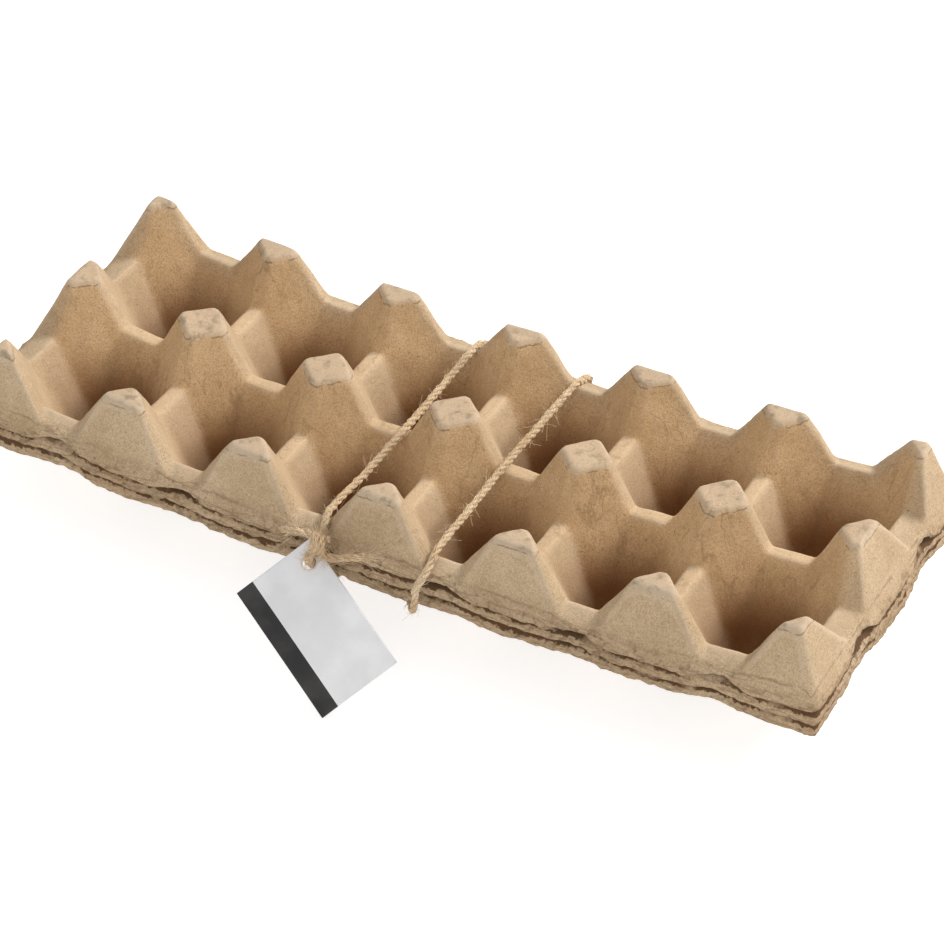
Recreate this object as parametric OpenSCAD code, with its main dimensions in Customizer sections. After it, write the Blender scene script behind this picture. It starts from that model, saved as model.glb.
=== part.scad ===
// A tied stack of moulded pulp egg trays with a hang tag.
// Millimetres, +Z up. The origin is on the table, in the middle of the box round trays, twine and tag.
// X runs along the six cells of a row, and the tag hangs on the -Y side.

/* [Tray] */
// Distance between the egg cells along the tray
col_pitch = 47; // [42:0.5:56]
// Distance between the two rows of egg cells
row_pitch = 48; // [42:0.5:56]
// Height from a cell's floor to the flat top of a post
tray_depth = 44; // [34:0.5:60]
// Height from the saddle between two posts up to the post tops
saddle_drop = 16.4; // [10:0.2:24]
// Width of the saddle ridge between two cells
ridge_w = 5; // [3:0.5:9]
// Distance from a cell's centre to the lower end of its wall
cup_r = 10; // [8:0.5:13]
// Distance from a cell's centre to the edge of its flat floor
floor_r = 7.5; // [4:0.5:7.5]
// Height of the slope round a cell's floor
floor_rise = 2.5; // [1:0.5:5]

/* [Posts] */
// Half diagonal of the flat top of a middle post
post_in = 9.2; // [6:0.2:11]
// Reach of an edge post's top towards the cells
edge_post_in = 8; // [5:0.2:10]
// Reach of a corner post's top towards its cell, both ways added
corner_post_in = 5; // [4.6:0.2:7]
// Growth of a post's half diagonal from its top down to the saddles
foot_spread = 9.9; // [6:0.1:11]
// Half width of an edge post's top along the edge
edge_side = 6.5; // [4:0.5:8]
// Half width of a corner post's top along the edge
corner_side = 5; // [3.6:0.2:5]
// Length cut from the corners of the post tops
post_clip = 1.2; // [0.5:0.1:2.5]

/* [Edge] */
// Distance from the line of the edge posts out to the edge of their tops
edge_top = 1.4; // [0.6:0.2:4]
// Distance from the line of the edge posts out to the crease above the skirt
crease_out = 6.6; // [5:0.2:10]
// Fall of the edge saddles from the cells out to the crease
shelf_fall = 2.4; // [0:0.1:4]
// Distance that the skirt flares out below the crease
skirt_out = 3; // [1.5:0.1:6]
// Height of the skirt below the crease
skirt_h = 2.8; // [2:0.1:8]
// Height of the skirt's upper part, which runs on above the gaps as a lip
lip_h = 1.3; // [0.6:0.1:1.6]
// Width of the gap in the skirt below each edge saddle
notch_w = 13; // [8:0.5:16]
// Distance of that gap from the middle of the saddle
notch_shift = 2; // [0:0.5:4]
// Extra width of the edge at the two ends of the tray
end_out = 2; // [0:0.2:4]
// Length cut from the corners of the skirt
corner_clip = 2; // [0.5:0.1:2.5]

/* [Pulp] */
// Thickness of the flat parts of a tray
pulp_t = 1.8; // [1:0.1:2.6]
// Thickness of the skirt's lower edge
rim_t = 1.5; // [0.8:0.1:1.6]

/* [Stack] */
// Height that each nested tray adds to the stack
nest_pitch = 4.3; // [3:0.1:6]
// Upright play between the walls of nested trays
nest_gap = 0.4; // [0.3:0.1:0.8]
// Rise of the outermost posts, because the tie pulls the middle of the stack down
bow_rise = 6; // [0:0.2:12]
// Rise of the skirt's lower edge at the outermost posts
rim_rise = 3; // [0:0.2:6]
// Half length of the middle that stays flat on the table
bow_flat = 33; // [20:1:40]

/* [Twine] */
// Diameter of the twine
twine_d = 2.7; // [1.5:0.1:3]

/* [Tag] */
// Length of the tag
tag_l = 48.5; // [30:0.5:70]
// Width of the tag
tag_w = 29; // [20:1:40]
// Thickness of the card
tag_t = 0.5; // [0.3:0.1:1]
// Diameter of the punched hole
tag_hole_d = 4.6; // [3:0.1:6]
// Distance from the hole's centre to the short edge
tag_hole_u = 6; // [4:0.5:10]
// Distance from the hole's centre to the upper long edge
tag_hole_v = 4.7; // [3.5:0.1:8]

/* [Hidden] */

pulp_tan = [0.72, 0.58, 0.43];
jute_brown = [0.55, 0.42, 0.28];
card_grey = [0.86, 0.86, 0.85];

// Moves the trays back, so that the box with the tag in front has its middle at the origin.
frame_shift = [0, 17, 0];

// Counts of a dozen tray: cells along and across, and the posts round them.
col_count = 6;
row_count = 2;
post_cols = col_count + 1;
post_rows = row_count + 1;

// Walls of nested trays lie drop below each other, and flat parts are pulp_t thick.
drop = nest_pitch - nest_gap;
wall_lift = drop - pulp_t;
wall_h = tray_depth - saddle_drop;
tray_z = tray_depth + pulp_t;
half = [col_pitch / 2, row_pitch / 2];
grid_half = [col_count * half.x, row_count * half.y];
// Growth of the walls for each millimetre of height.
post_grow = foot_spread / saddle_drop;
crease_drop = saddle_drop + shelf_fall;
edge_grow = (crease_out - edge_top) / crease_drop;
side_grow = (half.x - notch_w / 2 - notch_shift - edge_side) / crease_drop;
rim_angle = atan2(skirt_h, skirt_out);
lip_share = lip_h / skirt_h;
bow_end = grid_half.x - bow_flat;

function bow(x) = pow(max(abs(x) - bow_flat, 0) / bow_end, 2);

// Outward sign of a post or a cell side: -1, 0 or 1.
function out_sign(i, count) = i == 0 ? -1 : i == count - 1 ? 1 : 0;

// Cell rings. Eight corners each, counter-clockwise, two on each of the sides +x, +y, -x and -y.
cell_v = 8;
cell_rings = 3;
function cell_centre(cx, cy) = [(cx + 0.5) * col_pitch - grid_half.x, (cy + 0.5) * row_pitch - grid_half.y];

function floor_ring(r) =
    let (s = r * tan(22.5))
    [[r, -s], [r, s], [s, r], [-s, r], [-r, s], [-r, -s], [-s, -r], [s, -r]];

// Reach of the post at a cell's corner, measured as |x| + |y| from the post's centre.
function post_reach(ox, oy) =
    ox != 0 && oy != 0 ? corner_post_in
    : ox != 0 || oy != 0 ? edge_post_in
    : post_in;

// Distance from the cell's centre to a wall at saddle height. Edge walls stand on the line of the edge posts.
function wall_reach(axis, at_edge, lift) =
    let (reach = at_edge ? half[axis] : half[axis] - ridge_w / 2)
    reach + lift * (reach - cup_r) / wall_h;

// Corner of the saddle ring, on the side of the given axis, in the quadrant q of the cell.
function saddle_corner(cx, cy, q, axis, lift) =
    let (
        px = q.x > 0 ? cx + 1 : cx,
        py = q.y > 0 ? cy + 1 : cy,
        ox = out_sign(px, post_cols),
        oy = out_sign(py, post_rows),
        edge = [ox == q.x, oy == q.y],
        diagonal = half.x + half.y - post_reach(ox, oy) - foot_spread + lift * post_grow,
        wall = wall_reach(axis, edge[axis], lift)
    )
    axis == 0 ? [q.x * wall, q.y * (diagonal - wall)] : [q.x * (diagonal - wall), q.y * wall];

function saddle_ring(cx, cy, lift) = [
    saddle_corner(cx, cy, [1, -1], 0, lift),
    saddle_corner(cx, cy, [1, 1], 0, lift),
    saddle_corner(cx, cy, [1, 1], 1, lift),
    saddle_corner(cx, cy, [-1, 1], 1, lift),
    saddle_corner(cx, cy, [-1, 1], 0, lift),
    saddle_corner(cx, cy, [-1, -1], 0, lift),
    saddle_corner(cx, cy, [-1, -1], 1, lift),
    saddle_corner(cx, cy, [1, -1], 1, lift)
];

// Post tops. Each quadrant has one corner on its x side (axis 0) and one on its y side (axis 1).
// least_land keeps the outer edge of a top wider than nothing.
least_land = 0.2;
function inner_quadrant(o, q) = o.x != q.x && o.y != q.y;

function post_corner(o, q, axis, lift) =
    let (
        reach = post_reach(o.x, o.y) - lift * post_grow,
        top = edge_top - lift * edge_grow,
        side_half = (o.x != 0 && o.y != 0 ? corner_side : edge_side) - lift * side_grow,
        side = [o.y != 0 ? side_half : reach - post_clip, o.x != 0 ? side_half : reach - post_clip],
        mid = max(side_half - reach, 0) + post_clip,
        along = inner_quadrant(o, q) ? side[axis]
              : o[axis] == q[axis] ? top : side[axis],
        across = inner_quadrant(o, q) ? reach - side[axis]
               : o.x == q.x && o.y == q.y ? top - post_clip
               : o[axis] == q[axis] ? side_half - post_clip : min(mid, top - least_land)
    )
    axis == 0 ? [q.x * along, q.y * across] : [q.x * across, q.y * along];

function post_top(o, lift) = [
    post_corner(o, [1, -1], 0, lift),
    post_corner(o, [1, 1], 0, lift),
    post_corner(o, [1, 1], 1, lift),
    post_corner(o, [-1, 1], 1, lift),
    post_corner(o, [-1, 1], 0, lift),
    post_corner(o, [-1, -1], 0, lift),
    post_corner(o, [-1, -1], 1, lift),
    post_corner(o, [1, -1], 1, lift)
];

// Edge of the tray, walked counter-clockwise from the front left corner post.
// Each stop is [post column, post row, outward side that comes in, outward side that goes out].
side_out = [[0, -1], [1, 0], [0, 1], [-1, 0]];
function turned(n) = [-n.y, n.x];
stops = [
    for (px = [0 : col_count]) [px, 0, px == 0 ? 3 : 0, px == col_count ? 1 : 0],
    for (py = [1 : row_count]) [col_count, py, 1, py == row_count ? 2 : 1],
    for (px = [col_count - 1 : -1 : 0]) [px, row_count, 2, px == 0 ? 3 : 2],
    for (py = [row_count - 1 : -1 : 1]) [0, py, 3, 3]
];
function is_corner(stop) = stop[2] != stop[3];
function post_xy(px, py) = [px * col_pitch - grid_half.x, py * row_pitch - grid_half.y];
// Half width of the skirt below an edge post, on a side that runs along x or y.
function is_end(side) = side % 2 == 1;
function skirt_half(side) = (is_end(side) ? half.y : half.x) - notch_w / 2;

// Points of one stop at the distance out from the line of the posts.
function edge_points(stop, out) =
    let (
        centre = post_xy(stop[0], stop[1]),
        n1 = side_out[stop[2]],
        n2 = side_out[stop[3]],
        out1 = out + (is_end(stop[2]) ? end_out : 0),
        out2 = out + (is_end(stop[3]) ? end_out : 0),
        first = n1 * out1 - turned(n1) * (skirt_half(stop[2]) - notch_shift),
        last = n2 * out2 + turned(n2) * (skirt_half(stop[3]) + notch_shift),
        turn1 = n1 * out1 + turned(n1) * (out2 - corner_clip),
        turn2 = n2 * out2 - turned(n2) * (out1 - corner_clip)
    )
    is_corner(stop)
        ? [centre + first, centre + turn1, centre + turn2, centre + last]
        : [centre + first, centre + last];
edge_sizes = [for (stop = stops) is_corner(stop) ? 4 : 2];
function sum_to(list, count, i = 0) = i == count ? 0 : list[i] + sum_to(list, count, i + 1);
edge_starts = [for (i = [0 : len(stops)]) sum_to(edge_sizes, i)];
edge_count = edge_starts[len(stops)];

// One face of the tray: under is 0 for the upper face and 1 for the lower one.
function at_height(points, centre, z, rise = bow_rise) =
    [for (p = points) let (q = p + centre) [q.x, q.y, z + rise * bow(q.x)]];
function tray_face(z, under) =
    let (lift = under * wall_lift, thick = under * pulp_t, rim = under * rim_t)
    concat(
        [for (cy = [0 : row_count - 1], cx = [0 : col_count - 1])
            let (c = cell_centre(cx, cy), floor_lift = lift * (cup_r - floor_r) / floor_rise)
            each concat(
                at_height(floor_ring(floor_r + floor_lift), c, z - tray_depth - thick),
                at_height(floor_ring(cup_r), c, z - tray_depth + floor_rise - under * drop),
                at_height(saddle_ring(cx, cy, lift), c, z - saddle_drop - thick)
            )],
        [for (py = [0 : row_count], px = [0 : col_count])
            each at_height(
                post_top([out_sign(px, post_cols), out_sign(py, post_rows)], lift),
                post_xy(px, py), z - thick)],
        [for (stop = stops)
            each at_height(edge_points(stop, crease_out - lift * edge_grow), [0, 0],
                z - crease_drop - thick)],
        [for (share = [lip_share, 1], stop = stops)
            each at_height(edge_points(stop, crease_out + share * skirt_out - rim * sin(rim_angle)), [0, 0],
                z - crease_drop - share * skirt_h - rim * cos(rim_angle),
                bow_rise + share * (rim_rise - bow_rise))]
    );

// Places of the corners in the list that tray_face makes.
cell_size = cell_v * cell_rings;
posts_start = col_count * row_count * cell_size;
crease_start = posts_start + post_cols * post_rows * cell_v;
lip_start = crease_start + edge_count;
skirt_start = lip_start + edge_count;
face_size = skirt_start + edge_count;
function cell_i(cx, cy, ring, v) = (cy * col_count + cx) * cell_size + ring * cell_v + v % cell_v;
function post_i(px, py, q, axis) =
    let (slots = [[[5, 6], [4, 3]], [[0, 7], [1, 2]]])
    posts_start + (py * post_cols + px) * cell_v + slots[q.x > 0 ? 1 : 0][q.y > 0 ? 1 : 0][axis];
function axis_of(n) = n.x != 0 ? 0 : 1;
function quad(a, b, c, d) = [[a, b, c], [a, c, d]];

saddle = cell_rings - 1;
cell_faces = [
    for (cy = [0 : row_count - 1], cx = [0 : col_count - 1])
        each concat(
            [for (v = [1 : cell_v - 2])
                [cell_i(cx, cy, 0, 0), cell_i(cx, cy, 0, v), cell_i(cx, cy, 0, v + 1)]],
            [for (ring = [0 : saddle - 1], v = [0 : cell_v - 1])
                each quad(cell_i(cx, cy, ring, v), cell_i(cx, cy, ring + 1, v),
                    cell_i(cx, cy, ring + 1, v + 1), cell_i(cx, cy, ring, v + 1))],
            [for (k = [0 : 3])
                let (
                    q = [[1, 1], [-1, 1], [-1, -1], [1, -1]][k],
                    px = q.x > 0 ? cx + 1 : cx,
                    py = q.y > 0 ? cy + 1 : cy,
                    first_axis = k % 2 == 0 ? 1 : 0
                )
                each quad(cell_i(cx, cy, saddle, 2 * k + 1), post_i(px, py, -q, first_axis),
                    post_i(px, py, -q, 1 - first_axis), cell_i(cx, cy, saddle, 2 * k + 2))]
        )
];

post_faces = [
    for (p = [0 : post_cols * post_rows - 1], v = [1 : cell_v - 2])
        [posts_start + p * cell_v, posts_start + p * cell_v + v, posts_start + p * cell_v + v + 1]
];

// Ridges with their saddles, first those across the tray and then those along it.
ridge_faces = concat(
    [for (cy = [0 : row_count - 1], cx = [0 : col_count - 2])
        let (
            a0 = cell_i(cx, cy, saddle, 0), a1 = cell_i(cx, cy, saddle, 1),
            b0 = cell_i(cx + 1, cy, saddle, 5), b1 = cell_i(cx + 1, cy, saddle, 4)
        )
        each concat(
            quad(a0, b0, b1, a1),
            quad(a1, b1, post_i(cx + 1, cy + 1, [1, -1], 1), post_i(cx + 1, cy + 1, [-1, -1], 1)),
            quad(post_i(cx + 1, cy, [-1, 1], 1), post_i(cx + 1, cy, [1, 1], 1), b0, a0)
        )],
    [for (cy = [0 : row_count - 2], cx = [0 : col_count - 1])
        let (
            a0 = cell_i(cx, cy, saddle, 3), a1 = cell_i(cx, cy, saddle, 2),
            b0 = cell_i(cx, cy + 1, saddle, 6), b1 = cell_i(cx, cy + 1, saddle, 7)
        )
        each concat(
            quad(a0, a1, b1, b0),
            quad(a1, post_i(cx + 1, cy + 1, [-1, -1], 0), post_i(cx + 1, cy + 1, [-1, 1], 0), b1),
            quad(post_i(cx, cy + 1, [1, -1], 0), a0, b0, post_i(cx, cy + 1, [1, 1], 0))
        )]
);

// Cell beside the edge between one stop and the next, and its two corners there.
side_corners = [[6, 7], [0, 1], [2, 3], [4, 5]];
function edge_cell(stop, side, step) =
    let (n = side_out[side])
    [stop[0], stop[1]] + (turned(n) * step - n - [1, 1]) / 2;

edge_faces = [
    for (i = [0 : len(stops) - 1])
        let (
            stop = stops[i],
            px = stop[0], py = stop[1],
            n1 = side_out[stop[2]], t1 = turned(n1),
            n2 = side_out[stop[3]], t2 = turned(n2),
            before = edge_cell(stop, stop[2], -1),
            after = edge_cell(stop, stop[3], 1),
            d1 = cell_i(before.x, before.y, saddle, side_corners[stop[2]][1]),
            d2 = cell_i(after.x, after.y, saddle, side_corners[stop[3]][0]),
            d3 = cell_i(after.x, after.y, saddle, side_corners[stop[3]][1]),
            c1 = crease_start + edge_starts[i],
            c2 = c1 + edge_sizes[i] - 1,
            next = crease_start + edge_starts[i + 1] % edge_count,
            in1 = post_i(px, py, -t1 - n1, axis_of(t1)),
            mid1 = post_i(px, py, n1 - t1, axis_of(t1)),
            out1 = post_i(px, py, n1 - t1, axis_of(n1)),
            out2 = post_i(px, py, n2 + t2, axis_of(n2)),
            mid2 = post_i(px, py, n2 + t2, axis_of(t2)),
            in2 = post_i(px, py, t2 - n2, axis_of(t2)),
            k1 = post_i(px, py, n1 + t1, axis_of(n1)),
            k2 = post_i(px, py, n1 + t1, axis_of(n2))
        )
        each concat(
            [[c1, out1, mid1], [c1, mid1, d1], [d1, mid1, in1]],
            [[out2, c2, mid2], [mid2, c2, d2], [mid2, d2, in2]],
            is_corner(stop)
                ? concat(quad(c1, c1 + 1, k1, out1), quad(c1 + 1, c1 + 2, k2, k1), quad(c1 + 2, c2, out2, k2))
                : quad(c1, c2, out2, out1),
            quad(c2, next, d3, d2),
            quad(c2 + edge_count, next + edge_count, next, c2),
            [for (c = [c1 : c2 - 1], low = [c, c + edge_count])
                each quad(low + edge_count, low + edge_count + 1, low + 1, low)]
        )
];
upper_faces = concat(cell_faces, post_faces, ridge_faces, edge_faces);

// The open edge of a face: down each gap's side, along the skirt and up again to the lip.
rim = [
    for (i = [0 : len(stops) - 1])
        let (lip = lip_start + edge_starts[i], s = skirt_start + edge_starts[i], last = edge_sizes[i] - 1)
        each concat([lip], [for (k = [0 : last]) s + k], [lip + last])
];
rim_faces = [
    for (k = [0 : len(rim) - 1])
        let (a = rim[k], b = rim[(k + 1) % len(rim)])
        each quad(a + face_size, b + face_size, b, a)
];
tray_faces = concat(
    [for (f = upper_faces) [f[2], f[1], f[0]]],
    [for (f = upper_faces) [for (v = f) v + face_size]],
    [for (f = rim_faces) [f[2], f[1], f[0]]]
);

// The tag's hole, and the turn of the tag from lying flat with its length along x.
tag_at = [-16.5, -64, 32.1];
tag_turn = [35, 26.5, -22.5];

// Middle line of the twine: the right tail, the knot, over the left of the middle posts, under,
// over the right of them, under again, through the tag and round the knot to the left tail.
twine_path = [
    [2.5, -62, 40.4], [-3, -62.8, 38.6], [-8, -63.4, 36.8], [-11.6, -63.2, 36.4],
    [-13.6, -61.4, 37.4], [-15.2, -58.4, 38.2],
    [-16.7, -55.5, 37.1], [-17.9, -51.4, 38.6], [-19, -47.5, 39.7], [-18.4, -24, 39.3],
    [-18.2, -2.5, 39.6], [-18.2, 2.5, 39.6], [-18.6, 24, 39.3], [-19, 47.5, 39.7],
    [-19.8, 51.4, 38.6], [-20.4, 55.5, 37.1], [-20, 57.6, 35.7], [-19, 59.5, 33], [-18.2, 59.6, 25.2],
    [-17.6, 59.2, 23], [-16.6, 57.8, 21.4], [-15, 55.5, 20.9], [-9, 46, 22],
    [-2.6, 33, 21.5], [-1.8, 24, 21], [-1.6, 15, 22],
    [0, 0, 23],
    [1.6, -15, 22], [1.8, -24, 21], [2.6, -33, 21.5], [9, -46, 22], [15, -55.5, 20.9], [16.6, -57.8, 21.4],
    [17.6, -59.2, 23], [18.2, -59.6, 25.2], [19.2, -59.5, 33], [20, -57.6, 35.7],
    [20.4, -55.5, 37.1], [20.2, -51.4, 38.6], [19.8, -47.5, 39.7], [19.2, -24, 39.3],
    [18.8, -2.5, 39.6], [18.8, 2.5, 39.6], [19, 24, 39.3], [19.6, 47.5, 39.7],
    [19.4, 51.4, 38.6], [19, 55.5, 37.1], [18.6, 57.6, 35.7], [18.4, 59.5, 33], [17.8, 59.6, 25.2],
    [17.2, 59.2, 23], [16.4, 57.8, 21.4], [15, 55.5, 20.9], [9, 46, 22],
    [2.6, 33, 21.5], [1.8, 24, 20.6], [1.6, 15, 19.8],
    [0, 0, 19.2],
    [-1.6, -15, 19.8], [-1.8, -24, 20.6], [-2.6, -33, 21.5], [-9, -46, 22], [-13.6, -55.5, 20.9],
    [-15, -57.8, 21.4],
    [-16, -59.2, 23], [-16.6, -59.8, 25.2], [-17.1, -60.8, 28.6], tag_at, [-16.2, -65.6, 34.6],
    [-14.6, -65.6, 37.8],
    [-13.2, -63.8, 40.2], [-14.4, -61.4, 41.2], [-18.4, -61, 40.8], [-22.6, -62, 41]
];
twine_sides = 8;
twine_last = len(twine_path) - 1;
function unit(v) = v / norm(v);
function heading(i) = unit(twine_path[min(i + 1, twine_last)] - twine_path[max(i - 1, 0)]);
function square_to(u, t) = unit(u - (u * t) * t);
// Side directions along the line, each turned as little as possible from the one before.
function side_steps(i, u) =
    i > twine_last ? [] : let (v = square_to(u, heading(i))) concat([v], side_steps(i + 1, v));
twine_up = side_steps(0, [0, 0, 1]);
twine_points = [
    for (i = [0 : twine_last], k = [0 : twine_sides - 1])
        let (a = 360 * k / twine_sides, w = cross(heading(i), twine_up[i]))
        twine_path[i] + (twine_up[i] * cos(a) + w * sin(a)) * twine_d / 2
];
function twine_i(i, k) = i * twine_sides + k % twine_sides;
twine_faces = concat(
    [for (i = [0 : twine_last - 1], k = [0 : twine_sides - 1])
        each quad(twine_i(i, k), twine_i(i + 1, k), twine_i(i + 1, k + 1), twine_i(i, k + 1))],
    [[for (k = [0 : twine_sides - 1]) twine_i(0, k)]],
    [[for (k = [twine_sides - 1 : -1 : 0]) twine_i(twine_last, k)]]
);

module tray(level) {
    z = tray_z + level * nest_pitch;
    color(pulp_tan) translate(frame_shift) polyhedron(concat(tray_face(z, 0), tray_face(z, 1)), tray_faces);
}

module tray_top() { tray(2); }
module tray_middle() { tray(1); }
module tray_bottom() { tray(0); }

module twine() {
    color(jute_brown) translate(frame_shift) polyhedron(twine_points, twine_faces);
}

module hang_tag() {
    color(card_grey)
    translate(frame_shift + tag_at)
    rotate(tag_turn)
    translate([-tag_hole_u, tag_hole_v - tag_w, 0])
    linear_extrude(tag_t)
    difference() {
        square([tag_l, tag_w]);
        translate([tag_hole_u, tag_w - tag_hole_v]) circle(d = tag_hole_d, $fn = 32);
    }
}

tray_top();
tray_middle();
tray_bottom();
twine();
hang_tag();
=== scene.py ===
# %% [markdown]
# # A tied stack of pulp egg trays
#
# Three trays of pressed paper pulp lie nested in each other. Jute twine is tied round their
# middle, and a card tag hangs from the knot. The solids of the trays, the twine and the tag come
# in as a fixed frame. This lesson gives each of them the soft edges, the fibres and the light of
# the real thing, always in the same place as its solid.

# %% Load the solids
import math
import random

import bmesh
import bpy
from mathutils import Euler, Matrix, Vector, noise
from mathutils.bvhtree import BVHTree
from mathutils.kdtree import KDTree


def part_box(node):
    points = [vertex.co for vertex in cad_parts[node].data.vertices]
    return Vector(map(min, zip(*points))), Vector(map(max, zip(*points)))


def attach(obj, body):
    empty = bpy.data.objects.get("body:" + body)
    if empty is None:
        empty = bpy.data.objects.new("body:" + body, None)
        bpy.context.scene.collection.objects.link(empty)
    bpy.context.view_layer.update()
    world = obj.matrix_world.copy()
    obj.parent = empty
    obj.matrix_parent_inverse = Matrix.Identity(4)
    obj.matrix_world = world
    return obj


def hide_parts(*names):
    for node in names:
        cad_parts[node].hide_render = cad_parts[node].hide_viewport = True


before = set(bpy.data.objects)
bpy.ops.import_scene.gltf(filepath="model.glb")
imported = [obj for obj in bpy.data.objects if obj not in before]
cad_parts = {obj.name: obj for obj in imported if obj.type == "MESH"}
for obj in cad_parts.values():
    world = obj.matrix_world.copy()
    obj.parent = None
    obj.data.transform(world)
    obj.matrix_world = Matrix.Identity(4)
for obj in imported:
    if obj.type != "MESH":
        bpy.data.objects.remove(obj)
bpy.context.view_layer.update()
MM = 0.001

# %% [markdown]
# ## Camera
#
# The picture was taken from the front right and from above, with a long lens. A camera can be
# placed by eye, but this one was fitted to the corners of the posts, so that the solids fall where
# the trays lie in the picture. The lens is given for a sensor of 36 mm. The camera comes first,
# because the light and the finishes are judged through it.

# %% Camera
SENSOR_WIDTH = 36
LENS = 128.89
CAMERA_PLACE = (0.40591, -0.72237, 0.72174)
LOOK_DOWN, TURN_LEFT = 39.41, 28.382
VIEW_END = 20


def add_to_scene(thing):
    bpy.context.scene.collection.objects.link(thing)


camera_data = bpy.data.cameras.new("camera")
camera_data.sensor_width = SENSOR_WIDTH
camera_data.lens = LENS
camera_data.clip_end = VIEW_END
camera = bpy.data.objects.new("camera", camera_data)
camera.location = CAMERA_PLACE
camera.rotation_euler = (math.radians(90 - LOOK_DOWN), 0, math.radians(TURN_LEFT))
add_to_scene(camera)
bpy.context.scene.camera = camera
print("camera at", tuple(round(v, 3) for v in camera.location))

# %% [markdown]
# ## Light and floor
#
# A product table: a pale floor, a white room that lights every side a little, one large soft lamp
# from behind on the right, and a weak one in front. The flat tops, the ridges and the right-hand
# walls come out bright, the walls that face the camera stay half dark, and the cups fall to brown;
# painted light and shade in the pulp's colour add to this.
# More lamps would fill the cups, so there are only two. The floor glows a little, so that it stays
# white without a strong light from above.

# %% Lamps and room
LAMP_AIM = Vector((0, 0, 0))
ROOM_STRENGTH = 0.63


def soft_lamp(name, place, size, watts, tint):
    data = bpy.data.lights.new(name, "AREA")
    data.shape = "DISK"
    data.size = size
    data.energy = watts
    data.color = tint
    lamp = bpy.data.objects.new(name, data)
    lamp.location = place
    lamp.rotation_euler = (LAMP_AIM - Vector(place)).to_track_quat("-Z", "Y").to_euler()
    add_to_scene(lamp)


soft_lamp("key_lamp", place=(0.85, 1.15, 1.25), size=0.7, watts=34, tint=(1.0, 0.98, 0.95))
soft_lamp("front_lamp", place=(0.5, -1.5, 1.1), size=1.2, watts=6, tint=(1.0, 0.99, 0.97))

world = bpy.data.worlds.new("white_room")
world.use_nodes = True
room = world.node_tree.nodes["Background"].inputs
room["Color"].default_value = (1, 1, 1, 1)
room["Strength"].default_value = ROOM_STRENGTH
bpy.context.scene.world = world
bpy.context.scene.view_settings.view_transform = "Standard"
print("two lamps in a room of strength", ROOM_STRENGTH)

# %% Floor
FLOOR_REACH = 6.0
FLOOR_SHADE = (0.5, 0.5, 0.5, 1)
FLOOR_ROUGHNESS = 0.9
FLOOR_GLOW = 0.74


def piece_from(name, shape):
    for face in shape.faces:
        face.smooth = True
    mesh = bpy.data.meshes.new(name)
    shape.to_mesh(mesh)
    shape.free()
    piece = bpy.data.objects.new(name, mesh)
    add_to_scene(piece)
    return piece


floor_bm = bmesh.new()
bmesh.ops.create_grid(floor_bm, x_segments=1, y_segments=1, size=FLOOR_REACH)
floor = piece_from("floor", floor_bm)
floor_finish = bpy.data.materials.new("floor_white")
floor_finish.use_nodes = True
floor_look = floor_finish.node_tree.nodes["Principled BSDF"].inputs
floor_look["Base Color"].default_value = FLOOR_SHADE
floor_look["Roughness"].default_value = FLOOR_ROUGHNESS
floor_look["Emission Color"].default_value = (1, 1, 1, 1)
floor_look["Emission Strength"].default_value = FLOOR_GLOW
floor.data.materials.append(floor_finish)
print("floor reaches", FLOOR_REACH, "m each way")

# %% [markdown]
# ## Pulp finish
#
# Pulp is felted paper fibre: tan, with darker and paler clouds, a fine grain, thin curled fibres
# and a few dark specks. A painted picture could show them, but it would stretch on steep walls and
# need seams. One node group makes them from the piece's own coordinates instead. It puts out a
# colour and a height, and the pulp and the twine use them with their own values.

# %% Helpers for nodes
def wire(tree, start, end):
    tree.links.new(start, end)


def noise_node(tree, vector, scale, detail, distortion=0.0):
    node = tree.nodes.new("ShaderNodeTexNoise")
    node.inputs["Scale"].default_value = scale
    node.inputs["Detail"].default_value = detail
    node.inputs["Distortion"].default_value = distortion
    wire(tree, vector, node.inputs["Vector"])
    return node.outputs["Fac"]


def ramp_node(tree, value, low, high):
    node = tree.nodes.new("ShaderNodeMapRange")
    node.interpolation_type = "SMOOTHSTEP"
    node.inputs["From Min"].default_value = low
    node.inputs["From Max"].default_value = high
    wire(tree, value, node.inputs["Value"])
    return node.outputs["Result"]


def math_node(tree, kind, first, second=0.0):
    node = tree.nodes.new("ShaderNodeMath")
    node.operation = kind
    for socket, value in zip(node.inputs, (first, second)):
        if isinstance(value, (int, float)):
            socket.default_value = value
        else:
            wire(tree, value, socket)
    return node.outputs["Value"]


def blend_node(tree, mask, under, over, kind="MIX"):
    node = tree.nodes.new("ShaderNodeMix")
    node.data_type = "RGBA"
    node.blend_type = kind
    wire(tree, mask, node.inputs["Factor"])
    sockets = [s for s in node.inputs if s.type == "RGBA"]
    for socket, value in zip(sockets, (under, over)):
        if isinstance(value, tuple):
            socket.default_value = (*value, 1)
        else:
            wire(tree, value, socket)
    return next(s for s in node.outputs if s.type == "RGBA")


print("node helpers ready")


# %% Helpers for fibres
def times(tree, first, second):
    return math_node(tree, "MULTIPLY", first, second)


def painted(tree, colour, layers):
    for mask, share, shade in layers:
        colour = blend_node(tree, times(tree, mask, share), colour, shade)
    return colour


def thin_lines(tree, value, middle, width):
    away = math_node(tree, "ABSOLUTE", math_node(tree, "SUBTRACT", value, middle))
    return ramp_node(tree, away, low=width, high=0.0)


def curled_fibres(tree, place, scale, distortion, middle, width):
    waves = noise_node(tree, place, scale, detail=2, distortion=distortion)
    return thin_lines(tree, waves, middle, width)


def wrinkles(tree, place):
    waves = noise_node(tree, place, scale=120, detail=3, distortion=1.5)
    patches = ramp_node(tree, noise_node(tree, place, scale=85, detail=3), low=0.5, high=0.62)
    return times(tree, thin_lines(tree, waves, middle=0.5, width=0.014), patches)


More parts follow.
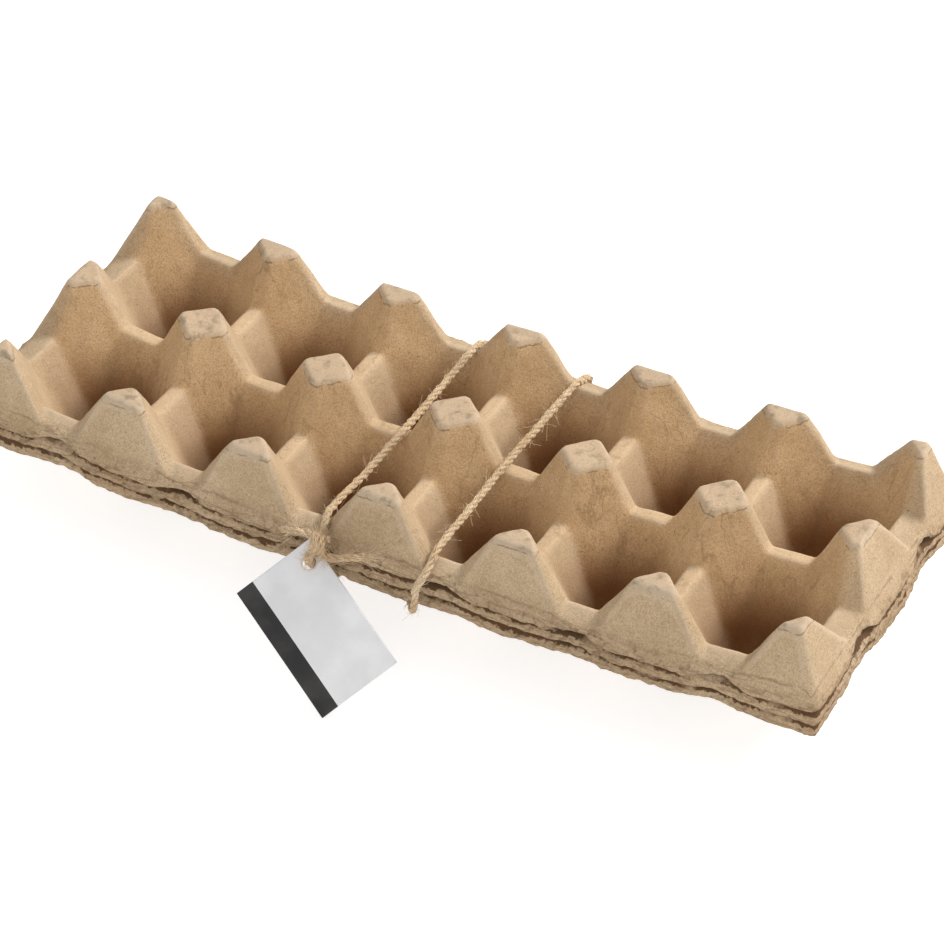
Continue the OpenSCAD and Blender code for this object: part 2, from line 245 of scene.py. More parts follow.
def few_specks(tree, place, scale):
    dots = tree.nodes.new("ShaderNodeTexVoronoi")
    dots.inputs["Scale"].default_value = scale
    wire(tree, place, dots.inputs["Vector"])
    draw = tree.nodes.new("ShaderNodeSeparateColor")
    wire(tree, dots.outputs["Color"], draw.inputs["Color"])
    one_in_ten = ramp_node(tree, draw.outputs["Red"], low=0.9, high=0.92)
    return times(tree, ramp_node(tree, dots.outputs["Distance"], low=0.2, high=0.08), one_in_ten)


print("fibre helpers ready")

# %% Pulp group
SPECK_BROWN = (0.1, 0.06, 0.03)


def pulp_group():
    tree = bpy.data.node_groups.new("pulp_fibres", "ShaderNodeTree")
    for name in ("Base", "Dark", "Pale"):
        tree.interface.new_socket(name, in_out="INPUT", socket_type="NodeSocketColor")
    tree.interface.new_socket("Colour", in_out="OUTPUT", socket_type="NodeSocketColor")
    tree.interface.new_socket("Height", in_out="OUTPUT", socket_type="NodeSocketFloat")
    inside = tree.nodes.new("NodeGroupInput").outputs
    outside = tree.nodes.new("NodeGroupOutput").inputs
    dark, pale = inside["Dark"], inside["Pale"]
    place = tree.nodes.new("ShaderNodeTexCoord").outputs["Object"]
    clouds = noise_node(tree, place, scale=55, detail=3)
    blotches = noise_node(tree, place, scale=240, detail=5)
    grain = noise_node(tree, place, scale=1500, detail=3)
    fine = noise_node(tree, place, scale=3200, detail=2)
    dark_fibre = curled_fibres(tree, place, scale=700, distortion=2.6, middle=0.5, width=0.03)
    pale_fibre = curled_fibres(tree, place, scale=900, distortion=3.1, middle=0.52, width=0.035)
    wrinkle = wrinkles(tree, place)
    colour = blend_node(tree, ramp_node(tree, clouds, low=0.35, high=0.7), inside["Base"], pale)
    layers = [(ramp_node(tree, blotches, low=0.46, high=0.72), 0.28, dark),
              (ramp_node(tree, grain, low=0.48, high=0.68), 0.6, dark),
              (ramp_node(tree, grain, low=0.5, high=0.3), 0.45, pale),
              (ramp_node(tree, fine, low=0.46, high=0.66), 0.75, dark),
              (dark_fibre, 0.35, dark),
              (pale_fibre, 0.45, pale),
              (wrinkle, 0.4, dark),
              (few_specks(tree, place, scale=420), 0.5, SPECK_BROWN)]
    wire(tree, painted(tree, colour, layers), outside["Colour"])
    height = blotches
    for value, share in ((grain, 0.6), (fine, 0.35), (pale_fibre, 0.16), (wrinkle, -0.6)):
        height = math_node(tree, "ADD", height, times(tree, value, share))
    wire(tree, height, outside["Height"])
    return tree


pulp_fibres = pulp_group()
print("pulp group has", len(pulp_fibres.nodes), "nodes")

# %% Fibre materials
FIBRE_SHINE = 0.2
FIBRE_DEPTH = 0.5 * MM


def fibre_material(name, base, dark, pale, bump, roughness):
    finish = bpy.data.materials.new(name)
    finish.use_nodes = True
    tree = finish.node_tree
    shader = tree.nodes["Principled BSDF"]
    shader.inputs["Roughness"].default_value = roughness
    shader.inputs["Specular IOR Level"].default_value = FIBRE_SHINE
    fibres = tree.nodes.new("ShaderNodeGroup")
    fibres.node_tree = pulp_fibres
    for socket, colour in (("Base", base), ("Dark", dark), ("Pale", pale)):
        fibres.inputs[socket].default_value = (*colour, 1)
    relief = tree.nodes.new("ShaderNodeBump")
    relief.inputs["Strength"].default_value = bump
    relief.inputs["Distance"].default_value = FIBRE_DEPTH
    wire(tree, fibres.outputs["Height"], relief.inputs["Height"])
    wire(tree, relief.outputs["Normal"], shader.inputs["Normal"])
    wire(tree, fibres.outputs["Colour"], shader.inputs["Base Color"])
    return finish


pulp = fibre_material(
    "pulp", base=(0.5, 0.365, 0.228), dark=(0.33, 0.222, 0.122), pale=(0.6, 0.455, 0.3),
    bump=0.5, roughness=0.92)
pulp_underside = fibre_material(
    "pulp_underside", base=(0.49, 0.35, 0.212), dark=(0.31, 0.205, 0.11), pale=(0.59, 0.445, 0.29),
    bump=0.8, roughness=0.94)
pulp_edge = fibre_material(
    "pulp_torn_edge", base=(0.43, 0.29, 0.17), dark=(0.16, 0.09, 0.045), pale=(0.58, 0.42, 0.27),
    bump=1.0, roughness=0.95)
print("finishes:", pulp.name, pulp_underside.name, pulp_edge.name)

# %% [markdown]
# ## Marks of use and painted light
#
# The walls of the cups get a warmer tint of painted bounce light, walls on the lamp's side get a
# painted paler light, and low in the cups there is painted shade. Folds that stand out are rubbed
# pale with a little painted highlight, hollow ones get painted shade, and flat ridge tops get a
# painted highlight. The tops of the posts are greyer and smudged, and short cracks run just below
# them. Water has left streaks down the inner walls. The torn rim shows layers and crumbs, painted
# shade lies in the seam between two rims, and a faint fold runs along the outer faces.
#
# Such marks could be painted by hand, but three trays would need three paintings. Here each tray
# keeps four numbers per point, in millimetres: its fall below the post tops, its distance from the
# rim, how far it lies outside the fold, and how far it stands out. Marks that follow such numbers
# stay in place from every side.

# %% Helpers for marks
def measure(tree, name):
    node = tree.nodes.new("ShaderNodeAttribute")
    node.attribute_name = name
    return node.outputs["Fac"]


def patchy(tree, place, scale, low, high):
    return ramp_node(tree, noise_node(tree, place, scale, detail=4), low, high)


def ragged(tree, value, place, scale, reach):
    shake = math_node(tree, "SUBTRACT", noise_node(tree, place, scale, detail=4), 0.5)
    return math_node(tree, "ADD", value, times(tree, shake, reach))


def stretched(tree, place, scale):
    node = tree.nodes.new("ShaderNodeMapping")
    node.inputs["Scale"].default_value = scale
    wire(tree, place, node.inputs["Vector"])
    return node.outputs["Vector"]


def without(tree, mask, other, share):
    return times(tree, mask, math_node(tree, "SUBTRACT", 1.0, times(tree, other, share)))


def turned_to(tree, normal, side):
    node = tree.nodes.new("ShaderNodeVectorMath")
    node.operation = "DOT_PRODUCT"
    node.inputs[1].default_value = side
    wire(tree, normal, node.inputs[0])
    return node.outputs["Value"]


print("mark helpers ready")

# %% Painted light on the walls, marks on the tops
# The lamp's side: walls turned towards it get a painted paler light.
LIT_SIDE = (0.9, 0.44, 0.0)
UPWARDS = (0.0, 0.0, 1.0)
RIDGE_FALL = 16.4


def painted_wall_light(tree, own, fall, out):
    place, normal = own["Object"], own["Normal"]
    # Painted light: inner walls turned to the lamp's side are tinted paler, with a ragged edge.
    turned = ragged(tree, turned_to(tree, normal, LIT_SIDE), place, scale=170, reach=0.5)
    painted_lit_wall = ramp_node(tree, turned, low=0.28, high=0.84)
    inside = ramp_node(tree, out, low=-4, high=-12)
    inner = without(tree, inside, painted_lit_wall, share=0.7)
    # Painted shade: low in the cups the colour goes dark brown, less so on walls on the lamp's side.
    painted_cup_shade = without(tree, ramp_node(tree, fall, low=17, high=40), painted_lit_wall, share=0.4)
    # Painted highlight: flat ridge tops that face up are tinted paler.
    flat = ramp_node(tree, turned_to(tree, normal, UPWARDS), low=0.72, high=0.93)
    ridges = times(tree, flat, thin_lines(tree, fall, middle=RIDGE_FALL, width=2.5))
    return inner, [(times(tree, inside, painted_lit_wall), 0.25, (0.6, 0.475, 0.335)),
                   (painted_cup_shade, 0.92, (0.17, 0.062, 0.014)),
                   (ridges, 0.35, (0.63, 0.51, 0.37))]


def top_marks_and_fold_shade(tree, place, fall, crest):
    # Folds that stand out get paler, partly rubbed wear and partly a painted highlight; hollow folds
    # get painted shade.
    fold_wear_highlight_and_shade = ragged(tree, crest, place, scale=380, reach=0.22)
    tops = ramp_node(tree, ragged(tree, fall, place, scale=400, reach=1.4), low=2.2, high=0.3)
    smudges = times(tree, tops, patchy(tree, place, scale=260, low=0.5, high=0.74))
    cracks = thin_lines(tree, ragged(tree, fall, place, scale=260, reach=2.2), middle=1.8, width=0.4)
    cracks = times(tree, cracks, patchy(tree, place, scale=270, low=0.45, high=0.55))
    return [(tops, 0.5, (0.51, 0.415, 0.32)),
            (ramp_node(tree, fold_wear_highlight_and_shade, low=0.09, high=0.26), 0.3, (0.64, 0.51, 0.37)),
            (ramp_node(tree, fold_wear_highlight_and_shade, low=-0.07, high=-0.26), 0.34, (0.22, 0.135, 0.07)),
            (smudges, 0.6, (0.19, 0.145, 0.1)),
            (cracks, 0.6, (0.12, 0.07, 0.035))]


def drain_marks(tree, place, inner):
    streaks = noise_node(tree, stretched(tree, place, (1, 1, 0.1)), scale=130, detail=3)
    drains = times(tree, thin_lines(tree, streaks, middle=0.5, width=0.03), inner)
    drains = times(tree, drains, patchy(tree, place, scale=70, low=0.48, high=0.62))
    return [(drains, 0.35, (0.22, 0.135, 0.065))]


print("ridges lie", RIDGE_FALL, "mm below the tops")

# %% Marks and painted seam shade at the rim
SEAM_SHADE_SHAKES = ((110, 2.6), (420, 2.8), (900, 2.0))


# Painted shade: a dark ragged line on the lower trays just inside the upper tray's rim, where the
# seam between two rims is shaded.
def painted_seam_shade(tree, place, edge):
    seam = edge
    for scale, reach in SEAM_SHADE_SHAKES:
        seam = ragged(tree, seam, place, scale, reach)
    near = ramp_node(tree, edge, low=20, high=12)
    open_part = times(tree, ramp_node(tree, seam, low=1.9, high=2.5), near)
    return times(tree, open_part, patchy(tree, place, scale=75, low=0.36, high=0.46))


def rim_marks_and_seam_shade(tree, place, edge, out):
    near_rim = ramp_node(tree, math_node(tree, "ABSOLUTE", edge), low=6.5, high=1.0)
    sheets = noise_node(tree, stretched(tree, place, (0.14, 0.14, 1)), scale=520, detail=3)
    layers = times(tree, thin_lines(tree, sheets, middle=0.5, width=0.05), near_rim)
    crumbs = times(tree, near_rim, patchy(tree, place, scale=480, low=0.55, high=0.68))
    fold = thin_lines(tree, ragged(tree, out, place, scale=300, reach=0.9), middle=0.0, width=0.28)
    fold = times(tree, fold, patchy(tree, place, scale=60, low=0.42, high=0.58))
    return [(layers, 0.5, (0.19, 0.115, 0.058)),
            (crumbs, 0.5, (0.16, 0.095, 0.048)),
            (painted_seam_shade(tree, place, edge), 0.9, (0.085, 0.036, 0.012)),
            (fold, 0.45, (0.14, 0.085, 0.045))]


# The seam mark is painted shade where the upper rim covers the lower tray.
print("seam dust is shaken", len(SEAM_SHADE_SHAKES), "times")

# %% Paint the marks and the painted light
# Painted bounce light: a warmer tint for inner walls away from the lamp's side.
PAINTED_BOUNCE_TINT = (1.21, 1.11, 0.965)


def paint_marks_and_light(finish):
    tree = finish.node_tree
    base_colour = tree.nodes["Principled BSDF"].inputs["Base Color"]
    colour = base_colour.links[0].from_socket
    own = tree.nodes.new("ShaderNodeTexCoord").outputs
    place = own["Object"]
    fall, edge, out, crest = [measure(tree, name) for name in ("fall", "edge", "out", "crest")]
    inner, marks = painted_wall_light(tree, own, fall, out)
    marks += top_marks_and_fold_shade(tree, place, fall, crest)
    marks += drain_marks(tree, place, inner)
    marks += rim_marks_and_seam_shade(tree, place, edge, out)
    # Painted bounce light: the inner walls are tinted warmer.
    colour = blend_node(tree, inner, colour, PAINTED_BOUNCE_TINT, kind="MULTIPLY")
    wire(tree, painted(tree, colour, marks), base_colour)
    return len(marks)


print("pulp has", paint_marks_and_light(pulp), "kinds of marks in", len(pulp.node_tree.nodes), "nodes")

# %% [markdown]
# ## Trays
#
# A pulp tray is sucked onto a wire form, so its upper face never overhangs: it is one sheet that
# can be drawn straight up off the form. The solid could be subdivided instead, but its long
# triangles would show. A flat grid has even faces, so each point of a grid drops onto the solid.
# Points that miss it, just outside the rim, take the height of the nearest part, a little lower.

# %% Drop a grid on the solid
DROP_FROM = 1
DOWN = Vector((0, 0, -1))
GRID_MARGIN = 5
RIM_INSET = 0.3 * MM
PULL_BACK = 0.4 * MM
PULLS = 14
OUTER_FALL = 0.9
MISSED_HEIGHT = 30 * MM


def solid_of(node):
    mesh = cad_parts[node].data
    return BVHTree.FromPolygons([v.co for v in mesh.vertices], [p.vertices for p in mesh.polygons])


def hit_below(solid, x, y):
    return solid.ray_cast(Vector((x, y, DROP_FROM)), DOWN)[0]


def dropped_height(solid, x, y, low, high):
    px = min(max(x, low.x + RIM_INSET), high.x - RIM_INSET)
    py = min(max(y, low.y + RIM_INSET), high.y - RIM_INSET)
    beyond = math.hypot(x - px, y - py)
    middle = (low + high) / 2
    for pull in range(PULLS):
        hit = hit_below(solid, px, py)
        if hit:
            return hit.z - OUTER_FALL * beyond
        from_end = high.x - middle.x - abs(px - middle.x)
        from_side = high.y - middle.y - abs(py - middle.y)
        if from_end < from_side:
            px -= math.copysign(PULL_BACK, px - middle.x)
        else:
            py -= math.copysign(PULL_BACK, py - middle.y)
        beyond += PULL_BACK
    return MISSED_HEIGHT


def tray_sheet(solid, low, high, step):
    size = high - low
    middle = (low + high) / 2
    count_x, count_y = round(size.x / step), round(size.y / step)
    sheet = bmesh.new()
    bmesh.ops.create_grid(sheet, size=0.5, x_segments=count_x + 2 * GRID_MARGIN,
                          y_segments=count_y + 2 * GRID_MARGIN)
    spread_x = size.x * (1 + 2 * GRID_MARGIN / count_x)
    spread_y = size.y * (1 + 2 * GRID_MARGIN / count_y)
    bmesh.ops.scale(sheet, vec=(spread_x, spread_y, 1), verts=sheet.verts)
    bmesh.ops.translate(sheet, vec=(middle.x, middle.y, 0), verts=sheet.verts)
    for v in sheet.verts:
        v.co.z = dropped_height(solid, v.co.x, v.co.y, low, high)
    return sheet


print("grid goes", GRID_MARGIN, "faces past the solid")

# %% [markdown]
# ## Soft folds
#
# Pulp settles in the corners of its form, so hollow folds are rounder than folds that stand out. A
# bevel would round both alike. Here the heights of the grid are levelled, and at first only where
# that fills a hollow. How far a point stands out from its levelled neighbours is kept for the
# finish, and most of that amount is added once more, which makes the folds a little crisper.

# %% Soften the sheet
HOLLOW_ROUNDS = 4
ALL_ROUNDS = 2
CREST_ROUNDS = 2
CRISP = 0.9


def level(sheet, rounds):
    for turn in range(rounds):
        bmesh.ops.smooth_vert(sheet, verts=sheet.verts, factor=0.5, use_axis_z=True)


def soften(sheet):
    sharp = [v.co.z for v in sheet.verts]
    level(sheet, HOLLOW_ROUNDS)
    for v, z in zip(sheet.verts, sharp):
        v.co.z = max(z, v.co.z)
    level(sheet, ALL_ROUNDS)


def note_crests(sheet):
    crest = sheet.verts.layers.float.new("crest")
    heights = [v.co.z for v in sheet.verts]
    level(sheet, CREST_ROUNDS)
    for v, z in zip(sheet.verts, heights):
        stands_out = z - v.co.z
        v[crest] = stands_out / MM
        v.co.z = z + CRISP * stands_out


print("hollows are levelled", HOLLOW_ROUNDS, "times, everything", ALL_ROUNDS, "times")

# %% [markdown]
# ## Rim
#
# The rim of a tray is torn, not cut. The grid is trimmed to the outline of the solid, and the steps
# that this leaves are evened out along the edge, less so at the corners, which would shrink. Then
# noise moves the edge points: long waves, small crumbs, and a slow sag. Noise on the mesh shows in
# the outline, which a bump in the finish would not.

# %% Cut the outline
TRAY_LOW, TRAY_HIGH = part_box("tray_top")
SKIRT_OUT = 3 * MM
FOLD_X = (TRAY_HIGH.x - TRAY_LOW.x) / 2 - SKIRT_OUT
FOLD_Y = (TRAY_HIGH.y - TRAY_LOW.y) / 2 - SKIRT_OUT
CORNER = 7 * MM
CORNER_REACH = 2


def cut_away(shape, faces):
    bmesh.ops.delete(shape, geom=faces, context="FACES")
    loose = [v for v in shape.verts if not v.link_faces]
    bmesh.ops.delete(shape, geom=loose, context="VERTS")


def cut_outline(sheet, solid):
    lost = []
    for face in sheet.faces:
        spot = face.calc_center_median()
        if not hit_below(solid, spot.x, spot.y):
            lost.append(face)
    cut_away(sheet, lost)


def rim_loop(sheet):
    edge = next(e for e in sheet.edges if e.is_boundary)
    first, v = edge.verts
    loop = [first]
    while v is not first:
        loop.append(v)
        edge = next(e for e in v.link_edges if e.is_boundary and e is not edge)
        v = edge.other_vert(v)
    return loop


def even_rim(loop, reach, middle):
    count = len(loop)
    spots = [v.co.copy() for v in loop]
    for i, v in enumerate(loop):
        from_end = FOLD_X - abs(spots[i].x - middle.x)
        from_side = FOLD_Y - abs(spots[i].y - middle.y)
        at_corner = max(from_end, from_side) < CORNER
        span = CORNER_REACH if at_corner else reach
        near = [spots[(i + k) % count] for k in range(-span, span + 1)]
        v.co = sum(near, Vector()) / len(near)


print("fold lies", round(FOLD_X / MM, 1), "and", round(FOLD_Y / MM, 1), "mm from the middle")

# %% Tear the rim
SIDE_PULL = 3
CRUMBLY, UNEVEN, PRESSED = (0.7, 2.1, 4), (0.8, 2.0, 4), (0.8, 2.1, 4)
PRESS_SCALE, PRESS_REACH = 60, 0.36


def spot_in_noise(v, scale, depth):
    return Vector((v.co.x * scale, v.co.y * scale, depth))


def waver(v, scale, depth, reach):
    return noise.noise(spot_in_noise(v, scale, depth)) * reach


def crumble(v, scale, depth, kind, reach):
    return noise.fractal(spot_in_noise(v, scale, depth), *kind) * reach


def tear_rim(loop, middle, seed):
    for v in loop:
        out = Vector((v.co.x - middle.x, (v.co.y - middle.y) * SIDE_PULL, 0)).normalized()
        wave = waver(v, scale=70, depth=seed * 3.1, reach=0.35)
        rough = crumble(v, scale=300, depth=seed * 3.1, kind=CRUMBLY, reach=0.55)
        lift = crumble(v, scale=110, depth=seed * 5.3 + 9, kind=UNEVEN, reach=0.45)
        drift = waver(v, scale=24, depth=seed * 7.7, reach=0.8)
        sag = waver(v, scale=30, depth=seed * 2.9 + 4, reach=0.7)
        v.co += out * (wave + rough + drift) * MM
        v.co.z += (lift + sag) * MM


def press_uneven(sheet, seed):
    sheet.normal_update()
    for v in sheet.verts:
        spot = spot_in_noise(v, PRESS_SCALE, v.co.z * PRESS_SCALE + seed)
        v.co += v.normal * noise.fractal(spot, *PRESSED) * PRESS_REACH * MM


print("noise of", PRESS_REACH, "mm makes the walls uneven")

# %% [markdown]
# ## Three trays
#
# All three come from the same press, so one function makes them. The top one shows most and gets
# the finest grid. Each has its own seed, so no two rims are torn alike, and only the two lower ones
# have a covered edge, where painted shade lies in the seam. The trays are bowed, so the fall below
# the post tops has the bow taken out. A Solidify modifier gives the sheet its wall, with a rougher
# finish below and a torn one on the rim.

# %% Measure the sheet
COLUMN, HALF_COLUMNS = 47.0, 3
BOW_RISE, BOW_FLAT = 6.0, 33.0
BOW_END = HALF_COLUMNS * COLUMN - BOW_FLAT
END_STRETCH = 1.5


def bow(x):
    return BOW_RISE * (max(abs(x) / MM - BOW_FLAT, 0) / BOW_END) ** 2


def finder(loop):
    rim = KDTree(len(loop))
    for i, v in enumerate(loop):
        rim.insert(v.co, i)
    rim.balance()
    return rim


def measure_sheet(sheet, layers, rim, crown, middle, covered):
    fall, edge, out = layers
    for v in sheet.verts:
        v[fall] = (crown - v.co.z) / MM + bow(v.co.x)
        past_end = abs(v.co.x - middle.x) - FOLD_X
        past_side = abs(v.co.y - middle.y) - FOLD_Y
        stretch = END_STRETCH if past_end > past_side else 1
        v[edge] = covered * stretch * rim.find(v.co)[2] / MM
        v[out] = max(past_end, past_side) / MM


print("trays rise", BOW_RISE, "mm in a bow over", BOW_END, "mm")

# %% Make the three trays
WALL = 1.4 * MM


def face_up(sheet):
    bmesh.ops.recalc_face_normals(sheet, faces=sheet.faces)
    if sum(f.normal.z for f in sheet.faces) < 0:
        bmesh.ops.reverse_faces(sheet, faces=sheet.faces)


def give_wall(tray):
    wall = tray.modifiers.new("wall", "SOLIDIFY")
    wall.thickness = WALL
    wall.offset = -1
    wall.material_offset = 1
    wall.material_offset_rim = 2
    for finish in (pulp, pulp_underside, pulp_edge):
        tray.data.materials.append(finish)


def pulp_tray(node, step, reach, covered, seed):
    solid = solid_of(node)
    low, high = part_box(node)
    middle = (low + high) / 2
    sheet = tray_sheet(solid, low, high, step)
    soften(sheet)
    note_crests(sheet)
    cut_outline(sheet, solid)
    layers = [sheet.verts.layers.float.new(name) for name in ("fall", "edge", "out")]
    loop = rim_loop(sheet)
    even_rim(loop, reach, middle)
    crown = hit_below(solid, middle.x, middle.y).z
    measure_sheet(sheet, layers, finder(loop), crown, middle, covered)
    tear_rim(loop, middle, seed)
    press_uneven(sheet, seed)
    face_up(sheet)
    tray = piece_from("pulp_" + node, sheet)
    give_wall(tray)
    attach(tray, "root")
    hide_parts(node)
    print(tray.name, len(tray.data.polygons), "faces")


pulp_tray("tray_top", step=0.9 * MM, reach=5, covered=-1, seed=1)
pulp_tray("tray_middle", step=1.1 * MM, reach=8, covered=1, seed=2)
pulp_tray("tray_bottom", step=1.1 * MM, reach=8, covered=1, seed=3)

# %% [markdown]
# ## Twine
#
# Jute twine is three thin yarns twisted into one cord, and each yarn is a bundle of fibres. A bump on
# a tube would look flat at its edge, so the strands are real ones. The route is the one of the solid,
# a little lower where the cord lies on the softened rim at the back. Each yarn winds round that route
# as a helix, and a few finer strands wind round each yarn, so the edge of the cord is uneven as on
# the real one. Blender's curves with a round bevel make every strand.

# %% The route
SHIFT = Vector((0, 17, 0))
TAG_POINT = (-16.5, -64, 32.1)
ROUTE_PITCH = 0.8 * MM
ROUTE_MM = [
    (2.5, -62, 40.4), (-3, -62.8, 38.6), (-8, -63.4, 36.8), (-11.6, -63.2, 36.4),
    (-13.6, -61.4, 37.4), (-15.2, -58.4, 38.2), (-16.7, -55.5, 37.1), (-17.9, -51.4, 38.6),
    (-19, -47.5, 39.7), (-18.4, -24, 39.3), (-18.2, -2.5, 39.6), (-18.2, 2.5, 39.6),
    (-18.6, 24, 39.3), (-19, 47.5, 39.7), (-19.8, 51.4, 38.1), (-20.4, 55.5, 36.2),
    (-20, 57.5, 34.8), (-19, 59.5, 33), (-18.2, 59.6, 25.2), (-17.6, 59.2, 23),
    (-16.6, 57.8, 21.4), (-15, 55.5, 20.9), (-9, 46, 22), (-2.6, 33, 21.5),
    (-1.8, 24, 21), (-1.6, 15, 22), (0, 0, 23), (1.6, -15, 22),
    (1.8, -24, 21), (2.6, -33, 21.5), (9, -46, 22), (15, -55.5, 20.9),
    (16.6, -57.8, 21.4), (17.6, -59.2, 23), (18.2, -59.6, 25.2), (19.2, -59.5, 33),
    (20, -57.6, 35.7), (20.4, -55.5, 37.1), (20.2, -51.4, 38.6), (19.8, -47.5, 39.7),
    (19.2, -24, 39.3), (18.8, -2.5, 39.6), (18.8, 2.5, 39.6), (19, 24, 39.3),
    (19.6, 47.5, 39.7), (19.4, 51.4, 38.1), (19, 55.5, 36.2), (18.6, 57.5, 34.8),
    (18.4, 59.5, 33), (17.8, 59.6, 25.2), (17.2, 59.2, 23), (16.4, 57.8, 21.4),
    (15, 55.5, 20.9), (9, 46, 22), (2.6, 33, 21.5), (1.8, 24, 20.6),
    (1.6, 15, 19.8), (0, 0, 19.2), (-1.6, -15, 19.8), (-1.8, -24, 20.6),
    (-2.6, -33, 21.5), (-9, -46, 22), (-13.6, -55.5, 20.9), (-15, -57.8, 21.4),
    (-16, -59.2, 23), (-16.6, -59.8, 25.2), (-17.1, -60.8, 28.6), TAG_POINT,
    (-16.2, -65.6, 34.6), (-14.6, -65.6, 37.8), (-13.2, -63.8, 40.2), (-14.4, -61.4, 41.2),
    (-18.4, -61, 40.8), (-22.6, -62, 41),
]


def in_frame(point):
    return (Vector(point) + SHIFT) * MM


def smooth_route(points, pitch):
    curve = []
    for i in range(len(points) - 1):
        a, b = points[i], points[i + 1]
        before = points[max(i - 1, 0)]
        after = points[min(i + 2, len(points) - 1)]
        length = (b - a).length
        lead_a = a + (b - before).normalized() * length / 3
        lead_b = b - (after - a).normalized() * length / 3
        count = max(1, round(length / pitch))
        for k in range(count):
            t = k / count
            s = 1 - t
            spot = a * s**3 + lead_a * 3 * s * s * t
            spot += lead_b * 3 * s * t * t
            spot += b * t**3
            curve.append(spot)
    return curve + [points[-1]]


route = smooth_route([in_frame(point) for point in ROUTE_MM], ROUTE_PITCH)
route_length = sum((b - a).length for a, b in zip(route, route[1:]))
print("twine", round(route_length / MM), "mm long in", len(route), "points")

# %% Twist yarns round the route
PLIES, FIBRES_PER_PLY = 3, 6
YARN_OFF, YARN_LAY, YARN_UNEVEN = 0.6 * MM, 9.2 * MM, 0.4
FIBRE_OFF, FIBRE_LAY, FIBRE_UNEVEN = 0.52 * MM, -8 * MM, 0.8
LUMPS_PER_METRE, LUMP_SEED, LUMP_SLICE = 300, 7.7, 0.3
SEEDS_PER_PLY = 9


def frames_along(points):
    side = Vector((0, 0, 1))
    rows = []
    for i, p in enumerate(points):
        ahead = (points[min(i + 1, len(points) - 1)] - points[max(i - 1, 0)]).normalized()
        side = (side - ahead * side.dot(ahead)).normalized()
        rows.append((p, side, ahead.cross(side)))
    return rows


def wound(points, radius, lay, start, uneven, seed):
    strand = []
    gone = 0.0
    for i, (p, u, w) in enumerate(frames_along(points)):
        if i:
            gone += (p - points[i - 1]).length
        turn = start + math.tau * gone / lay
        lump = noise.noise(Vector((gone * LUMPS_PER_METRE, seed * LUMP_SEED, LUMP_SLICE)))
        r = radius * (1 + uneven * lump)
        strand.append(p + (u * math.cos(turn) + w * math.sin(turn)) * r)
    return strand


def three_ply(points, seed):
    cores, fibres = [], []
    for ply in range(PLIES):
        yarn = wound(points, YARN_OFF, YARN_LAY, ply * math.tau / PLIES, YARN_UNEVEN, seed + ply)
        cores.append(yarn)
        for k in range(FIBRES_PER_PLY):
            start = k * math.tau / FIBRES_PER_PLY
            own_seed = seed + ply * SEEDS_PER_PLY + k
            fibres.append(wound(yarn, FIBRE_OFF, FIBRE_LAY, start, FIBRE_UNEVEN, own_seed))
    return cores, fibres


cores, fibres = three_ply(route, seed=0)
print("yarns:", len(cores), "fibres:", len(fibres))

# %% [markdown]
# ## Knot, hairs and frayed ends
#
# Where the two ends cross, one of them takes a turn round the other. A true knot could be drawn point
# by point, but most of it is hidden by its own fibres, so a short coil stands for it. Beyond the knot
# the ends come apart into loose fibres, and all along the cord short hairs stand off. Single hairs
# are thin curves with a bend, thrown with a fixed seed, so each run gives the same cord.

# %% Knot
KNOT_MIDDLE = in_frame((-14.3, -62.3, 38.7))
KNOT_R, KNOT_TURNS, KNOT_WIDTH = 2.7 * MM, 2.2, 4.6 * MM
KNOT_TILT = Euler((0.2, 0.35, 0.5))
KNOT_STEPS = 72


def knot_turn(step):
    share = step / KNOT_STEPS
    turn = math.tau * KNOT_TURNS * share
    ring = Vector(((share - 0.5) * KNOT_WIDTH, KNOT_R * math.cos(turn), KNOT_R * math.sin(turn)))
    ring.rotate(KNOT_TILT)
    return KNOT_MIDDLE + ring


knot = [knot_turn(step) for step in range(KNOT_STEPS + 1)]
knot_cores, knot_fibres = three_ply(knot, seed=50)
cores += knot_cores
fibres += knot_fibres
print("knot at", tuple(round(v, 4) for v in KNOT_MIDDLE))

# %% Stray hairs and frayed ends
HAIR_BEND, HAIR_LEAN = 0.5, (0.2, 0.9)
HAIR_LENGTH_MM, FRAY_LENGTH_MM = (1.5, 5), (2, 7)
HAIR_STEPS = (0, 0.35, 0.7, 1)
ROOT_OFF_MM = 0.8
END_SPREAD_MM, END_FAN = 0.7, 0.45
CLEAR, LOOSE_END = 4, 34
random.seed(7)


def curled_hair(start, heading, length, bend):
    return [start + heading * length * t + bend * length * t * t for t in HAIR_STEPS]


def any_way():
    return Vector([random.uniform(-1, 1) for axis in range(3)])


def stray_hairs(points, count, first, last):
    rows = frames_along(points)
    hairs = []
    for k in range(count):
        i = random.randrange(first, last)
        p, u, w = rows[i]
        turn = random.uniform(0, math.tau)
        out = u * math.cos(turn) + w * math.sin(turn)
        along = (points[i + 3] - points[i - 3]).normalized() * random.choice((-1, 1))
        heading = (out * random.uniform(*HAIR_LEAN) + along).normalized()
        length = random.uniform(*HAIR_LENGTH_MM) * MM
        hairs.append(curled_hair(p + out * ROOT_OFF_MM * MM, heading, length, any_way() * HAIR_BEND))
    return hairs


def frayed_end(points, count):
    ahead = (points[-1] - points[-6]).normalized()
    hairs = []
    for k in range(count):
        start = points[-3] + any_way() * END_SPREAD_MM * MM
        heading = (ahead + any_way() * END_FAN).normalized()
        length = random.uniform(*FRAY_LENGTH_MM) * MM
        hairs.append(curled_hair(start, heading, length, any_way() * HAIR_BEND))
    return hairs


